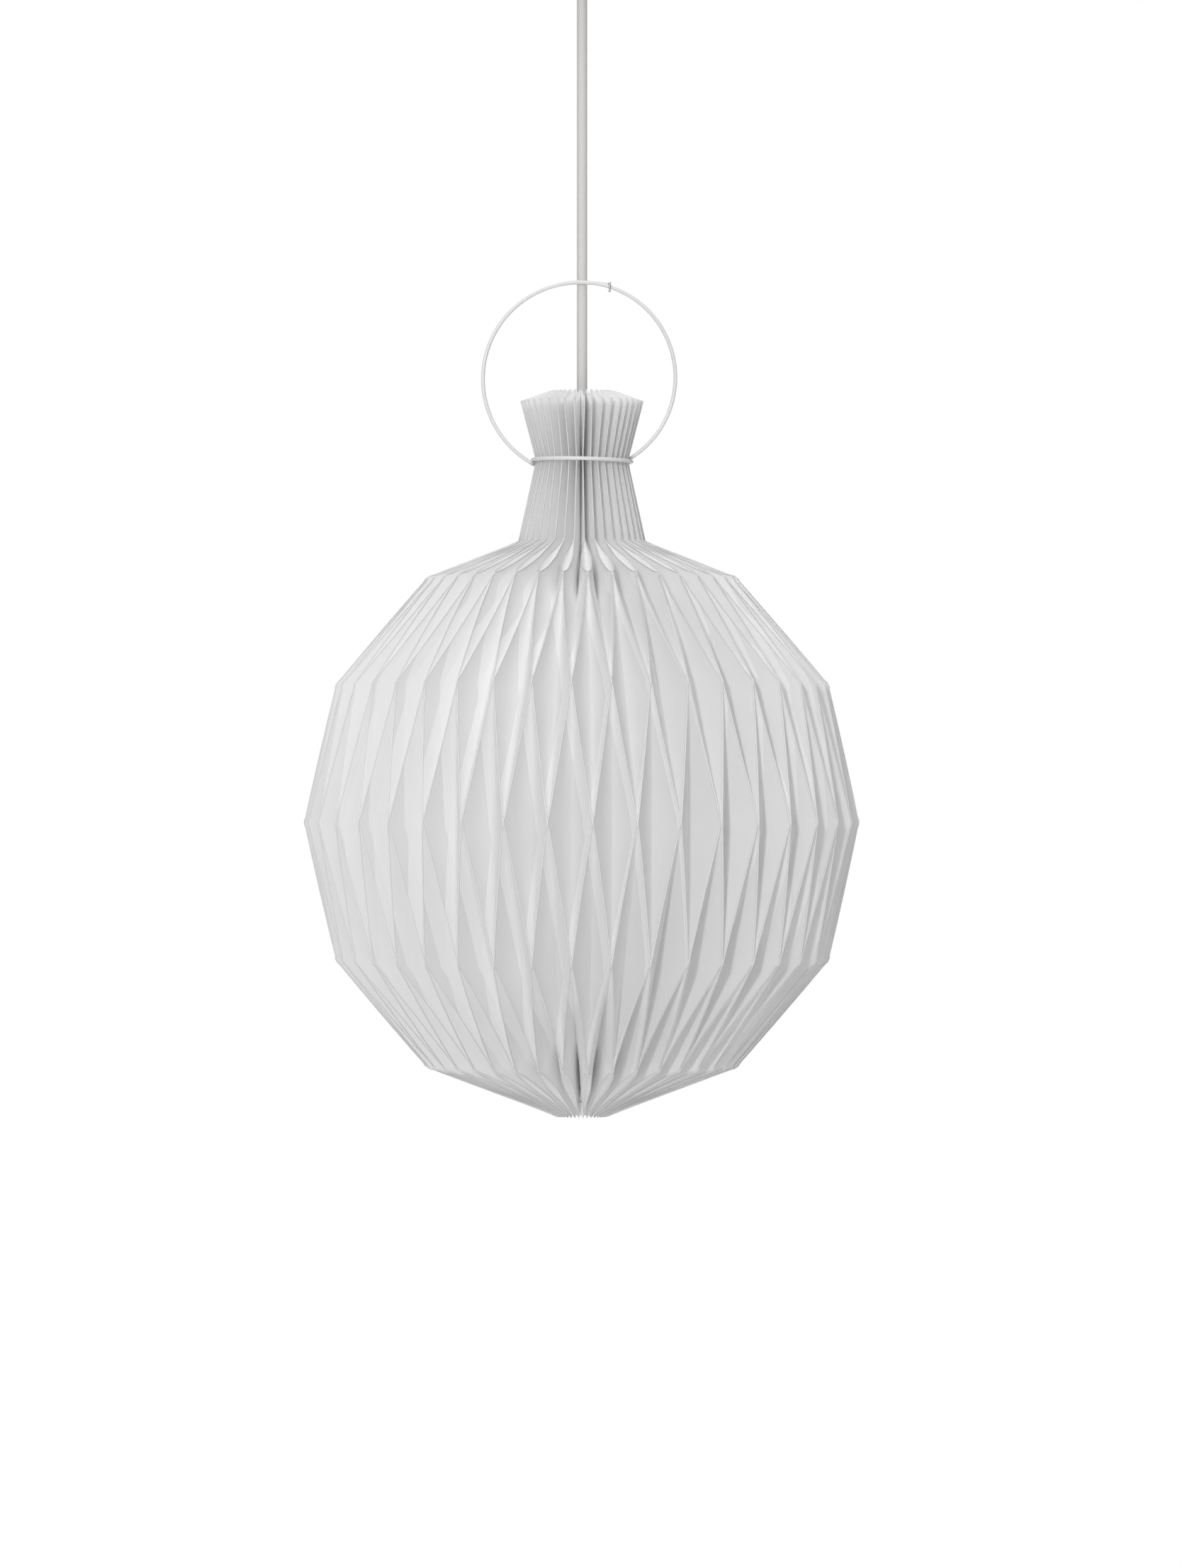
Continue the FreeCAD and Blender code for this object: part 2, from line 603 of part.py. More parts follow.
def handle_path():
    """The sleeve's path: left leg, one and a half turns round the neck, right leg."""
    left, arc_end, left_tangent = leg(-1, -FIRST_LEVEL, LEFT_RING_H, CROSSING_Y, LEFT_ARC)
    left_end = arc_end + left_tangent * SLEEVE_RUN
    right, _, _ = leg(1, FIRST_LEVEL, RIGHT_RING_H, -CROSSING_Y, RIGHT_ARC)
    turns = [
        half_turn(-WAIST_WIRE_R, 1, -FIRST_LEVEL, -SECOND_LEVEL),
        half_turn(WAIST_WIRE_R, -1, -SECOND_LEVEL, SECOND_LEVEL),
        half_turn(-WAIST_WIRE_R, 1, SECOND_LEVEL, FIRST_LEVEL),
    ]
    path = [line(left_end, arc_end), *reversed_edges(left), *turns, *right]
    return path, left_end, left_tangent


def hook_edges(start, tangent):
    """The bare end of the left leg: on past the cord, forward over the right leg, and down."""
    bend_start = start + tangent * HOOK_RUN
    forward = (Vec(0, -1, 0) + tangent * tangent.y).normalize()
    over, over_end, over_tangent = arc_from(bend_start, tangent, forward, HOOK_BEND_R, math.pi / 2)
    down_start = over_end + over_tangent * HOOK_ACROSS
    downward = tangent.cross(forward).normalize()
    if downward.z > 0:
        downward = downward * -1
    down, down_end, down_tangent = arc_from(down_start, over_tangent, downward, HOOK_BEND_R, math.pi / 2)
    tip = down_end + down_tangent * HOOK_DROP
    edges = [line(tip, down_end), *reversed_edges([down]), line(down_start, over_end),
             *reversed_edges([over]), line(bend_start, start)]
    return edges


def handle_sleeve():
    """The white plastic tube on the wire."""
    path, _, _ = handle_path()
    return sweep(path, WIRE_R).cut(sweep(path, CORE_R))


def handle_wire():
    """The spring wire inside the sleeve, with the hook at its left end."""
    path, left_end, left_tangent = handle_path()
    return sweep(hook_edges(left_end, left_tangent) + path, CORE_R)


def main():
    os.makedirs("parts", exist_ok=True)
    nodes = {
        "ceiling_bracket": ceiling_bracket(),
        "cord_saddle": cord_saddle(),
        "saddle_screws": saddle_screws(),
        "terminal_block": terminal_block(),
        "terminal_inserts": terminal_inserts(),
        "terminal_screws": terminal_screws(),
        "block_fixing_screw": block_fixing_screw(),
        "conductor_live": conductor(1),
        "conductor_neutral": conductor(-1),
        "cord_top": cord_top(),
        "canopy_cup": canopy_cup(),
        "canopy_cord_grip": canopy_cord_grip(),
        "canopy_grub_screw": canopy_grub_screw(),
        "cord_link": cord_link(),
        "cord_main": cord_main(),
        "holder_cord_grip": holder_cord_grip(),
        "shade_collar": shade_collar(),
        "holder_cap": holder_cap(),
        "holder_skirt": holder_skirt(),
        "holder_insert": holder_insert(),
        "thread_shell": thread_shell(),
        "centre_contact": centre_contact(),
        "holder_conductors": holder_conductors(),
        "bulb_dome": bulb_dome(),
        "bulb_body": bulb_body(),
        "bulb_screw_cap": bulb_screw_cap(),
        "bulb_tip": bulb_tip(),
        "pleated_shade": pleated_shade(),
        "bottom_tie": bottom_tie(),
        "handle_sleeve": handle_sleeve(),
        "handle_wire": handle_wire(),
    }
    for node, shape in nodes.items():
        save(node, shape)


main()
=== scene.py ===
"""Looks of the pleated pendant lamp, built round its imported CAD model. Metres, +Z up."""
import bpy
import json
import math
import numpy as np
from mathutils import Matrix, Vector


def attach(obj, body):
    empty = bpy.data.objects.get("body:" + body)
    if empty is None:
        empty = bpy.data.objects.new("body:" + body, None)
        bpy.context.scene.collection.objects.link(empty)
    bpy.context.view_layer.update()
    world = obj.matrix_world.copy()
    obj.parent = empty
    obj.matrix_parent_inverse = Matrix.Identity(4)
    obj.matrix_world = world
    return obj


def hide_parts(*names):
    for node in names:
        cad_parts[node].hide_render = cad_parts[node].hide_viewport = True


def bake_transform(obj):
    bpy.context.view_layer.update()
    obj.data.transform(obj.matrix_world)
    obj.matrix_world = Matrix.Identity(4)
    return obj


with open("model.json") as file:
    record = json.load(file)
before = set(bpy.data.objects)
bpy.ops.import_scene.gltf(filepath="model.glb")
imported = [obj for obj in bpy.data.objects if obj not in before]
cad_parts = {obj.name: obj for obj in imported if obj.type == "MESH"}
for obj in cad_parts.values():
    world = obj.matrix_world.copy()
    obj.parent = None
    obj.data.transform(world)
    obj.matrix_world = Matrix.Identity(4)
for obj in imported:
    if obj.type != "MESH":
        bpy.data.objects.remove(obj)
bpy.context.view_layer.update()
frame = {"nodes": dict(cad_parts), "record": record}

# ---- Driving dimensions -------------------------------------------------------------------

EQUATOR_Z = -0.565            # height of the shade's widest level
PLEATS = 40
STEP = math.pi / PLEATS       # from an even fold line to the odd one beside it
PLEAT_TURN = math.radians(2.2)

EQUATOR = (0.1700, 0.0)       # (radius, height above the equator) of the crossings and fold corners
SIDE = (0.1509, 0.0842)
SHOULDER = (0.0951, 0.1496)
FOOT = (0.0390, 0.1722)
WAIST = (0.0283, 0.2212)
RIM = (0.0377, 0.2576)
TIP = (0.0156, -0.1800)
VALLEY_SHOULDER = (0.0869, 0.1293)
VALLEY_FOOT = (0.0190, 0.1570)
VALLEY_WAIST = (0.0058, 0.2212)
VALLEY_RIM = (0.0195, 0.2641)
VALLEY_TIP = (0.0070, -0.1587)

SHEET_T = 0.00035
STRIP_W = 0.0108                # widest strips of painted light beside the ridges, measured along X
STRIP_TURN = math.radians(-63)  # where the strips of painted light change sides, about the axis
STRIP_DROP = 0.00127            # half the difference in width between the two families of ridges

CORD_R, CORD_SIDES = 0.00315, 32
CORD_TOP_Z, CORD_JOIN_Z, CORD_END_Z = -0.012, -0.098, -0.424

CAMERA_AT = (0.0055, -4.1, EQUATOR_Z)
CAMERA_AIM = (0.0055, 0.0, EQUATOR_Z + 0.0235)
LENS_MM, SENSOR_MM = 153.9, 36
VIEW_RANGE = 100

FLOOR_Z, FLOOR_R, FLOOR_SIDES = -3.4, 12.0, 96
FLOOR_COLOUR = (0.86, 0.86, 0.86)
ROOM_FRONT, ROOM_BACK = 0.52, 0.44
FRONT_FADE = (-0.9, 0.4)      # a fade's ends are values of a direction's X, Y or Z
RIGHT_FADE, RIGHT_SHARE = (0.05, 0.9), 0.22
LEFT_FADE, LEFT_SHARE = (-0.95, -0.05), 0.32
TOP_FADE, TOP_SHARE = (0.2, 0.9), 3.0
BRIGHT_WALL = (0.90, 0.97)    # where the wall behind the lamp starts and is fully bright
KEY_POWER, KEY_LEFT, KEY_UP = 0.80, math.radians(13), math.radians(14)
KEY_SPREAD = math.radians(5)
DIFFUSE_BOUNCES = 12

rng = np.random.default_rng(7)


# ---- Camera ---------------------------------------------------------------------------------

def make_camera():
    camera = bpy.data.objects.new("camera", bpy.data.cameras.new("camera"))
    bpy.context.collection.objects.link(camera)
    camera.location = CAMERA_AT
    direction = Vector(CAMERA_AIM) - Vector(CAMERA_AT)
    camera.rotation_mode = "QUATERNION"
    camera.rotation_quaternion = direction.to_track_quat("-Z", "Y")
    camera.data.lens = LENS_MM
    camera.data.sensor_width = SENSOR_MM
    camera.data.clip_end = VIEW_RANGE
    bpy.context.scene.camera = camera


# ---- Mesh helpers -----------------------------------------------------------------------------

def new_object(name, mesh):
    piece = bpy.data.objects.new(name, mesh)
    bpy.context.collection.objects.link(piece)
    return piece


def grid_mesh(name, points, ends_closed=False):
    """A mesh of quads from points[row, column], closed round the columns, with or without end faces."""
    rows, columns = points.shape[:2]
    row, column = np.meshgrid(np.arange(rows - 1), np.arange(columns), indexing="ij")
    here, above = row * columns, (row + 1) * columns
    beside = (column + 1) % columns
    quads = np.stack([here + column, here + beside, above + beside, above + column], axis=-1)
    faces = quads.reshape(-1, 4).tolist()
    if ends_closed:
        last = (rows - 1) * columns
        faces += [list(range(columns))[::-1], list(range(last, last + columns))]
    mesh = bpy.data.meshes.new(name)
    mesh.from_pydata(points.reshape(-1, 3).tolist(), [], faces)
    mesh.update()
    return mesh


def shade_smooth(mesh):
    mesh.polygons.foreach_set("use_smooth", np.ones(len(mesh.polygons), bool))


ROUTE_STEPS, ROUTE_ORDER = 24, 3


def spline_points(route):
    """Points along the smooth line that a cord's route gives."""
    curve = bpy.data.curves.new("route", "CURVE")
    curve.dimensions = "3D"
    curve.resolution_u = ROUTE_STEPS
    spline = curve.splines.new("NURBS")
    spline.points.add(len(route) - 1)
    for point, place in zip(spline.points, route):
        point.co = (*place, 1)
    spline.order_u = ROUTE_ORDER
    spline.use_endpoint_u = True
    carrier = new_object("route", curve)
    line = bpy.data.meshes.new_from_object(carrier)
    points = [v.co.copy() for v in line.vertices]
    bpy.data.objects.remove(carrier)
    bpy.data.meshes.remove(line)
    return points


# ---- Cord -------------------------------------------------------------------------------------

SHARP_EDGE = math.radians(40)
UPPER_ROUTE = [(0, 0, CORD_TOP_Z), (0, 0, -0.055), (0, 0, CORD_JOIN_Z)]
LOWER_ROUTE = [(0, 0, CORD_JOIN_Z), (0, 0, -0.260), (0, 0, CORD_END_Z)]


def cord_tube(name, route):
    """A tube along a route, and the points that it follows."""
    path = spline_points(route)
    turn = np.linspace(0, 2 * math.pi, CORD_SIDES, endpoint=False)
    ring = np.stack([np.cos(turn), np.sin(turn), np.zeros_like(turn)], axis=1) * CORD_R
    rings = np.array([np.array(p) + ring for p in reversed(path)])
    mesh = grid_mesh(name, rings, ends_closed=True)
    shade_smooth(mesh)
    mesh.set_sharp_from_angle(angle=SHARP_EDGE)
    return new_object(name, mesh), path


def make_cord(jacket):
    upper, upper_path = cord_tube("cord_upper", UPPER_ROUTE)
    lower, lower_path = cord_tube("cord_lower", LOWER_ROUTE)
    for piece in (upper, lower):
        piece.data.materials.append(jacket)
    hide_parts("cord_top", "cord_link")
    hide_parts("cord_main")
    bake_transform(upper)
    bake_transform(lower)


# ---- Pleated shade ----------------------------------------------------------------------------

# Each pleat has an even line and an odd line, half a pleat apart, with ridges that run to and fro
# between them. A ridge meets the even line at levels 0, 2 and 4, and the odd line at levels 1 and 3.
# Elsewhere the two lines are valleys, but in the neck the ridges stay beside the even line.
# Points of a row are (radius, height above the equator).

LEVELS = 5
PINCH = 0.0016                # half the length of the pinched ridge at each crossing
PINCH_HALF_W = 0.0003
VALLEY_PINCH = 0.999          # share of the highest crossings' pinch that the valleys beside them follow
NEAR_STEPS = (0, 0.0004, 0.0010, 0.0022, 0.0048, 0.0105, 0.0230)  # from a crossing
NEAR_SHARE = 0.45             # these steps are kept up to this share of a fold's length

PUSH = 0.00045                # how far a ridge moves aside for the narrow end of the groove beside it
DEEPEN = 0.0012               # how much deeper a valley is near its ends
GROOVE_START, GROOVE_REACH = 0.0008, 0.009  # from a crossing, where both shifts set in and fade

LEAF_ROWS, LEAF_CROWDING = 15, 1.6
LEAF_START = 0.015            # the first row of a leaf-shaped groove, as a share of its length
LEAF_DEPTH = 0.0045
LEAF_FULL_W = 0.0019          # the groove has its full depth from this half-width
LEAF_SHARE = 0.86             # of half the pleat's width
LEAF_NARROW, LEAF_WIDEST = 0.22, 0.5  # relative width at the start, and where it is widest
LEAF_ROUNDING, LEAF_TAPER = 0.03, 0.7

NECK_ROWS, RIM_ROWS = 8, 7
WAIST_SWAY, RIM_SWAY = 0.00035, 0.00055

RIDGE_W, VALLEY_W = 0.0008, 0.0016
ROUND_LIMIT = 0.42            # the share of a narrow side that a rounded corner may take
BEAD = 0.00012                # height of the bead along a ridge
RIDGE_PROFILE = ((0, -0.5), (0.25, 0.4), (0.5, 1), (0.75, 0.4), (1, -0.5))
VALLEY_PROFILE = ((0, 0), (0.5, 0), (1, 0))
NARROWEST = 1e-9              # keeps divisions by a width away from zero

NARROWEST_STRIP, FARTHEST = 0.0001, 5  # limits of a strip's width and of the strips' UV values
GATHERED_LIGHT_R = 1.15 * SHOULDER[0]  # painted light fills the gathered pleats inside this radius
NECK_GATHERED_LIGHT = 0.6           # of the painted light at the foot, from the waist up


def mirrored(corner):
    return (corner[0], -corner[1])


HIGH_VALLEY, LOW_VALLEY = np.array(VALLEY_SHOULDER), np.array(mirrored(VALLEY_SHOULDER))


def between(start, end, t):
    return np.array(start) + t * (np.array(end) - np.array(start))


def distance(start, end):
    return np.linalg.norm(np.array(end) - np.array(start))


def unit(start, end):
    return (np.array(end) - np.array(start)) / distance(start, end)


def inward_from(start, end):
    """The direction square to a sloping line, towards the axis and the equator."""
    return -np.abs(unit(start, end)[::-1]) * (1, np.sign(start[1]))


def pinch_ends(before, corner, after):
    """The lower and upper end of a crossing's pinched ridge."""
    along = unit(before, after)
    return np.array(corner) - PINCH * along, np.array(corner) + PINCH * along


def spaced(length):
    """Distances along a fold, close together near its two crossings, without the crossings."""
    near = [d for d in NEAR_STEPS if d < NEAR_SHARE * length]
    return sorted({*near, *(length - d for d in near), length / 2})[1:-1]


def groove_end(gap):
    """The shape of a groove near a crossing, at a distance from it."""
    return (1 - np.exp(-gap / GROOVE_START)) * np.exp(-gap / GROOVE_REACH)


def leaf_share(s):
    """Half the width of a leaf-shaped groove, as a share of half the pleat's width, at s from 0 to 1."""
    start = 1 - np.exp(-s / LEAF_ROUNDING)
    widening = LEAF_NARROW + (1 - LEAF_NARROW) * np.clip(s / LEAF_WIDEST, 0, 1)
    return LEAF_SHARE * start * widening * np.clip(1 - s, 0, 1) ** LEAF_TAPER


class Rows:
    """Rows of the folded sheet from the bottom up: where the even line, the ridge and the odd line are."""

    def __init__(self):
        self.even, self.ridge, self.odd = [], [], []
        self.share, self.side = [], []
        self.level, self.push = [], []

    def add(self, even, ridge, odd, share=0.0, side=PINCH_HALF_W, level=LEVELS - 1, push=0.0):
        """share: the ridge's place from the even line (0) to the odd (1); side and push: its shifts.

        level: the crossings' number, or how far the row is on the way from one to the next.
        """
        self.even.append(even)
        self.ridge.append(ridge)
        self.odd.append(odd)
        self.share.append(share)
        self.side.append(side)
        self.level.append(level)
        self.push.append(push)


def straight_valley(start, end, height):
    """The point of a valley's straight line at a height, let in more deeply near its two ends."""
    t = np.clip((height - start[1]) / (end[1] - start[1]), 0, 1)
    length = distance(start, end)
    point = between(start, end, t)
    point[0] -= DEEPEN * (groove_end(t * length) + groove_end((1 - t) * length))
    return point


def even_valley(ends, height):
    if height < 0:
        return straight_valley(ends[0][1], ends[2][0], height)
    return straight_valley(ends[2][1], ends[4][0], height)


def odd_valley(ends, height):
    return straight_valley(ends[1][1], ends[3][0], height)


def sloping_valley(valley, crossing, t):
    """The point at t from a valley's corner to a crossing, let in more deeply near the crossing."""
    deeper = DEEPEN * groove_end((1 - t) * distance(valley, crossing))
    return between(valley, crossing, t) + deeper * inward_from(valley, crossing)


def add_crossing(rows, ends, level):
    """The rows along the pinched ridge of a level's crossings."""
    low, high = ends[level]
    for t in (0.0, 0.5, 1.0):
        point = between(low, high, t)
        if level % 2 == 1:
            rows.add(even_valley(ends, point[1]), point, point, 1.0, -PINCH_HALF_W, level)
        elif level == 0:
            rows.add(point, point, LOW_VALLEY + point - high, level=level)
        elif level == LEVELS - 1:
            rows.add(point, point, HIGH_VALLEY + (point - low) * VALLEY_PINCH, level=level)
        else:
            rows.add(point, point, odd_valley(ends, point[1]), level=level)


def add_stretch(rows, ends, level):
    """The rows between a level's crossings and the next level's."""
    start, end = ends[level][1], ends[level + 1][0]
    length = distance(start, end)
    for gone in spaced(length):
        t = gone / length
        ridge = between(start, end, t)
        share = 1 - t if level % 2 == 1 else t
        if level == 0:
            odd = sloping_valley(LOW_VALLEY, ends[1][0], t)
        elif level == LEVELS - 2:
            odd = sloping_valley(HIGH_VALLEY, ends[3][1], 1 - t)
        else:
            odd = odd_valley(ends, ridge[1])
        side = PINCH_HALF_W * (1 - 2 * share)
        push = PUSH * (groove_end(share * length) - groove_end((1 - share) * length))
        rows.add(even_valley(ends, ridge[1]), ridge, odd, share, side, level + t, push)


def leaf_rows(ridge_ends, valley_ends):
    """The rows of a leaf-shaped groove, from its crossing on, as Rows.add takes them."""
    made = []
    for s in LEAF_START + (1 - LEAF_START) * np.linspace(0, 1, LEAF_ROWS) ** LEAF_CROWDING:
        ridge, odd = between(*ridge_ends, s), between(*valley_ends, s)
        width = leaf_share(s) * ridge[0] * STEP
        even = ridge + inward_from(*ridge_ends) * LEAF_DEPTH * min(1.0, width / LEAF_FULL_W)
        made.append((even, ridge, odd, 0.0, PINCH_HALF_W + width))
    return made


def add_neck(rows):
    for ridge_ends, valley_ends, count in (
        ((FOOT, WAIST), (VALLEY_FOOT, VALLEY_WAIST), NECK_ROWS),
        ((WAIST, RIM), (VALLEY_WAIST, VALLEY_RIM), RIM_ROWS),
    ):
        for t in np.linspace(0, 1, count + 1)[1:]:
            ridge = between(*ridge_ends, t)
            rows.add(ridge, ridge, between(*valley_ends, t))


def sheet_rows():
    around = [TIP, mirrored(SHOULDER), mirrored(SIDE), EQUATOR, SIDE, SHOULDER, FOOT]
    ends = [pinch_ends(*around[i:i + 3]) for i in range(LEVELS)]
    rows = Rows()
    lowest = LOW_VALLEY + ends[0][0] - ends[0][1]
    for row in reversed(leaf_rows((ends[0][0], TIP), (lowest, VALLEY_TIP))):
        rows.add(*row, level=0)
    for level in range(LEVELS):
        add_crossing(rows, ends, level)
        if level < LEVELS - 1:
            add_stretch(rows, ends, level)
    for row in leaf_rows((ends[-1][1], FOOT), (rows.odd[-1], VALLEY_FOOT)):
        rows.add(*row)
    add_neck(rows)
    return rows


def risen(height, start, end):
    """How far a height is from one corner's height to another's, from 0 to 1."""
    return np.clip((height - start[1]) / (end[1] - start[1]), 0, 1)


def sways(height):
    """The small sideways drift of each pleat's fold lines in the neck, by row and pleat."""
    waist_sway = rng.normal(0, WAIST_SWAY, PLEATS)
    rim_sway = rng.normal(0, RIM_SWAY, PLEATS)
    in_neck, in_rim = risen(height, SHOULDER, WAIST), risen(height, WAIST, RIM)
    return waist_sway * in_neck ** 2 * (1 - in_rim) + rim_sway * in_rim


def fold_corners(rows):
    """The corners of each row round the whole shade: even line, ridge, odd line, ridge, for each pleat."""
    even, ridge, odd = (np.array(line)[:, None, :] for line in (rows.even, rows.ridge, rows.odd))
    share, side, push = (np.array(values)[:, None] for values in (rows.share, rows.side, rows.push))
    turn = PLEAT_TURN + 2 * STEP * np.arange(PLEATS)
    drift = sways(ridge[..., 1])
    next_drift = np.roll(drift, -1, axis=1)
    corners = np.zeros((len(share), PLEATS, 4, 3))
    for slot, (line, angle) in enumerate((
        (even, turn + drift / even[..., 0]),
        (ridge, turn + share * STEP + (side + drift) / ridge[..., 0]),
        (odd, turn + STEP),
        (ridge, turn + 2 * STEP - share * STEP - (side - next_drift) / ridge[..., 0]),
    )):
        corners[:, :, slot, 0] = line[..., 0] * np.cos(angle)
        corners[:, :, slot, 1] = line[..., 0] * np.sin(angle)
        corners[:, :, slot, 2] = EQUATOR_Z + line[..., 1]
    open_grooves(corners, push[..., None])
    return corners.reshape(len(share), PLEATS * 4, 3)


def open_grooves(corners, push):
    """Moves each ridge across its wide facet, away from the narrow end of the groove beside it."""
    even, low, odd, high = (corners[:, :, slot] for slot in range(4))
    next_even = np.roll(even, -1, axis=1)
    for ridge, even_side in ((low, even), (high, next_even)):
        towards = np.where(push > 0, odd, even_side) - ridge
        width = np.linalg.norm(towards, axis=2, keepdims=True)
        ridge += towards / np.maximum(width, NARROWEST) * np.abs(push)


def rounded(corners):
    """Each row with its corners rounded, and which of its columns are the ridges' crests."""
    is_ridge = np.tile([False, True, False, True], PLEATS)
    reach = np.where(is_ridge, RIDGE_W, VALLEY_W)[None, :, None]

    def towards(other):
        step = other - corners
        length = np.maximum(np.linalg.norm(step, axis=2, keepdims=True), NARROWEST)
        return corners + step * np.minimum(reach / length, ROUND_LIMIT)

    first, last = towards(np.roll(corners, 1, axis=1)), towards(np.roll(corners, -1, axis=1))
    outward = corners - (first + last) / 2
    outward /= np.maximum(np.linalg.norm(outward, axis=2, keepdims=True), NARROWEST)
    middles = (last + np.roll(first, -1, axis=1)) / 2
    columns, crests = [], []
    for corner, ridge in enumerate(is_ridge):
        a, p, b = first[:, corner], corners[:, corner], last[:, corner]
        size = np.minimum(np.linalg.norm(b - a, axis=1, keepdims=True) / RIDGE_W, 1)
        for t, bead in (RIDGE_PROFILE if ridge else VALLEY_PROFILE):
            if bead == 1:
                crests.append(len(columns))
            point = (1 - t) ** 2 * a + 2 * t * (1 - t) * p + t ** 2 * b
            columns.append(point + outward[:, corner] * bead * BEAD * size)
        columns.append(middles[:, corner])
    return np.stack(columns, axis=1), np.array(crests)


def from_ridge(points, crests):
    """How far each point is from the crest of the nearest ridge in its row."""
    column = np.arange(points.shape[1])
    after = np.searchsorted(crests, column) % len(crests)
    before = (np.searchsorted(crests, column, side="right") - 1) % len(crests)
    gaps = [np.linalg.norm(points - points[:, crests[side]], axis=2) for side in (before, after)]
    return np.minimum(*gaps)


def face_corners(values):
    """The values at the four corners of each face of the grid, from values[row, column]."""
    return np.stack([values[:-1, :-1], values[:-1, 1:], values[1:, 1:], values[1:, :-1]], axis=-1)


def strips(points, rows):
    """How far each face corner lies from the ridge beside it, in widths of the painted light strips, for
    both families.
    """
    columns = points.shape[1]
    closed = np.concatenate([points, points[:, :1]], axis=1)
    expected = PLEAT_TURN + 2 * math.pi * np.arange(columns + 1) / columns
    off = np.arctan2(closed[..., 1], closed[..., 0]) - expected
    angle = expected + (off + math.pi) % (2 * math.pi) - math.pi
    across, turn = face_corners(closed[..., 0]), face_corners(angle)
    level = face_corners(np.array(rows.level)[:, None] + 0 * angle)
    radius = face_corners(np.array(rows.ridge)[:, :1] + 0 * angle)
    ridge_is_ahead = np.sin(STRIP_TURN - turn.mean(axis=-1, keepdims=True)) > 0
    narrowing = np.clip((radius - FOOT[0]) / (SHOULDER[0] - FOOT[0]), 0, 1)
    places = []
    for way in (1, -1):
        start = PLEAT_TURN + way * STEP * level
        pleat = ((turn - start) / (2 * STEP)).mean(axis=-1, keepdims=True)
        # the turn of this family's ridge that the strip here belongs to
        line = start + 2 * STEP * np.where(ridge_is_ahead, np.ceil(pleat), np.floor(pleat))
        width = narrowing * np.abs(STRIP_W * np.sin(STRIP_TURN - line) - way * STRIP_DROP)
        gap = np.abs(radius * np.cos(line) - across)
        places.append(np.minimum(gap / np.maximum(width, NARROWEST_STRIP), FARTHEST))
    return np.stack(places, axis=-1)


def gathered_painted_light(rows):
    """How much painted light lifts each row's gathered pleats, whose deep grooves would be in shade: most
    at the shoulder and the bottom.
    """
    radius, height = np.array(rows.ridge).T
    gathered = np.clip((GATHERED_LIGHT_R - radius) / (GATHERED_LIGHT_R - FOOT[0]), 0, 1)
    return gathered * np.interp(height, (FOOT[1], WAIST[1]), (1, NECK_GATHERED_LIGHT))


def add_point_values(mesh, name, values):
    attribute = mesh.attributes.new(name, "FLOAT", "POINT")
    attribute.data.foreach_set("value", values.astype(np.float32).ravel())


def add_face_corner_uv(mesh, name, places):
    mesh.uv_layers.new(name=name).data.foreach_set("uv", places.astype(np.float32).ravel())


def lengths_along(points, axis):
    """Distances from the first row or column to each one, averaged over the sheet."""
    steps = np.linalg.norm(np.diff(points, axis=axis), axis=2).mean(axis=1 - axis)
    return np.concatenate([[0], np.cumsum(steps)])


def flat_places(points):
    """Where each face corner lies on the flattened sheet."""
    closed = np.concatenate([points, points[:, :1]], axis=1)
    across, along = lengths_along(closed, 1), lengths_along(points, 0)
    u, v = np.meshgrid(across, along)
    return np.stack([face_corners(u), face_corners(v)], axis=-1)


def make_shade(material):
    rows = sheet_rows()
    points, crests = rounded(fold_corners(rows))
    mesh = grid_mesh("shade_sheet", points)
    add_point_values(mesh, "gathered_painted_light", np.repeat(gathered_painted_light(rows), points.shape[1]))
    add_point_values(mesh, "from_ridge", from_ridge(points, crests))
    add_face_corner_uv(mesh, "sheet", flat_places(points))
    add_face_corner_uv(mesh, "strips", strips(points, rows))
    shade_smooth(mesh)
    shade = new_object("shade_sheet", mesh)
    thick = shade.modifiers.new("thickness", "SOLIDIFY")
    thick.thickness = SHEET_T
    thick.offset = -1
    shade.data.materials.append(material)
    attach(shade, "lamp")
    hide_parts("pleated_shade")
    return shade


# ---- Materials --------------------------------------------------------------------------------

MIX_FIRST, MIX_SECOND, MIX_RESULT = 6, 7, 2   # the colour sockets of a Mix node


class Nodes:
    """A short way to add and link shader nodes."""

    def __init__(self, name):
        self.material = bpy.data.materials.new(name)
        self.material.use_nodes = True
        self.tree = self.material.node_tree
        self.shader = self.tree.nodes["Principled BSDF"]

    def add(self, kind, inputs=None, **settings):
        node = self.tree.nodes.new("ShaderNode" + kind)
        for key, value in settings.items():
            setattr(node, key, value)
        for key, value in (inputs or {}).items():
            self.put(node.inputs[key], value)
        return node

    def put(self, socket, value):
        if isinstance(value, bpy.types.NodeSocket):
            self.tree.links.new(value, socket)
        else:
            socket.default_value = value

    def look(self, inputs):
        for key, value in inputs.items():
            self.put(self.shader.inputs[key], value)

    def maths(self, operation, *values):
        return self.add("Math", dict(enumerate(values)), operation=operation).outputs[0]

    def noise(self, place, scale, detail):
        return self.add("TexNoise", {"Vector": place, "Scale": scale, "Detail": detail}).outputs["Fac"]

    def bump(self, height, strength, distance):
        node = self.add("Bump", {"Height": height, "Strength": strength, "Distance": distance})
        return node.outputs["Normal"]

    def value_of(self, name):
        return self.add("Attribute", attribute_name=name).outputs["Fac"]

    def mix(self, factor, first, second):
        """A colour between two, the second one given as a plain value."""
        node = self.add("Mix", data_type="RGBA")
        self.put(node.inputs["Factor"], factor)
        self.put(node.inputs[MIX_FIRST], first)
        node.inputs[MIX_SECOND].default_value = (*second, 1)
        return node.outputs[MIX_RESULT]

    def ramp(self, factor, stops):
        node = self.add("ValToRGB", {"Fac": factor})
        while len(node.color_ramp.elements) < len(stops):
            node.color_ramp.elements.new(0.5)
        for element, (place, colour) in zip(node.color_ramp.elements, stops):
            element.position = place
            element.color = (*colour, 1)
        return node.outputs["Color"]


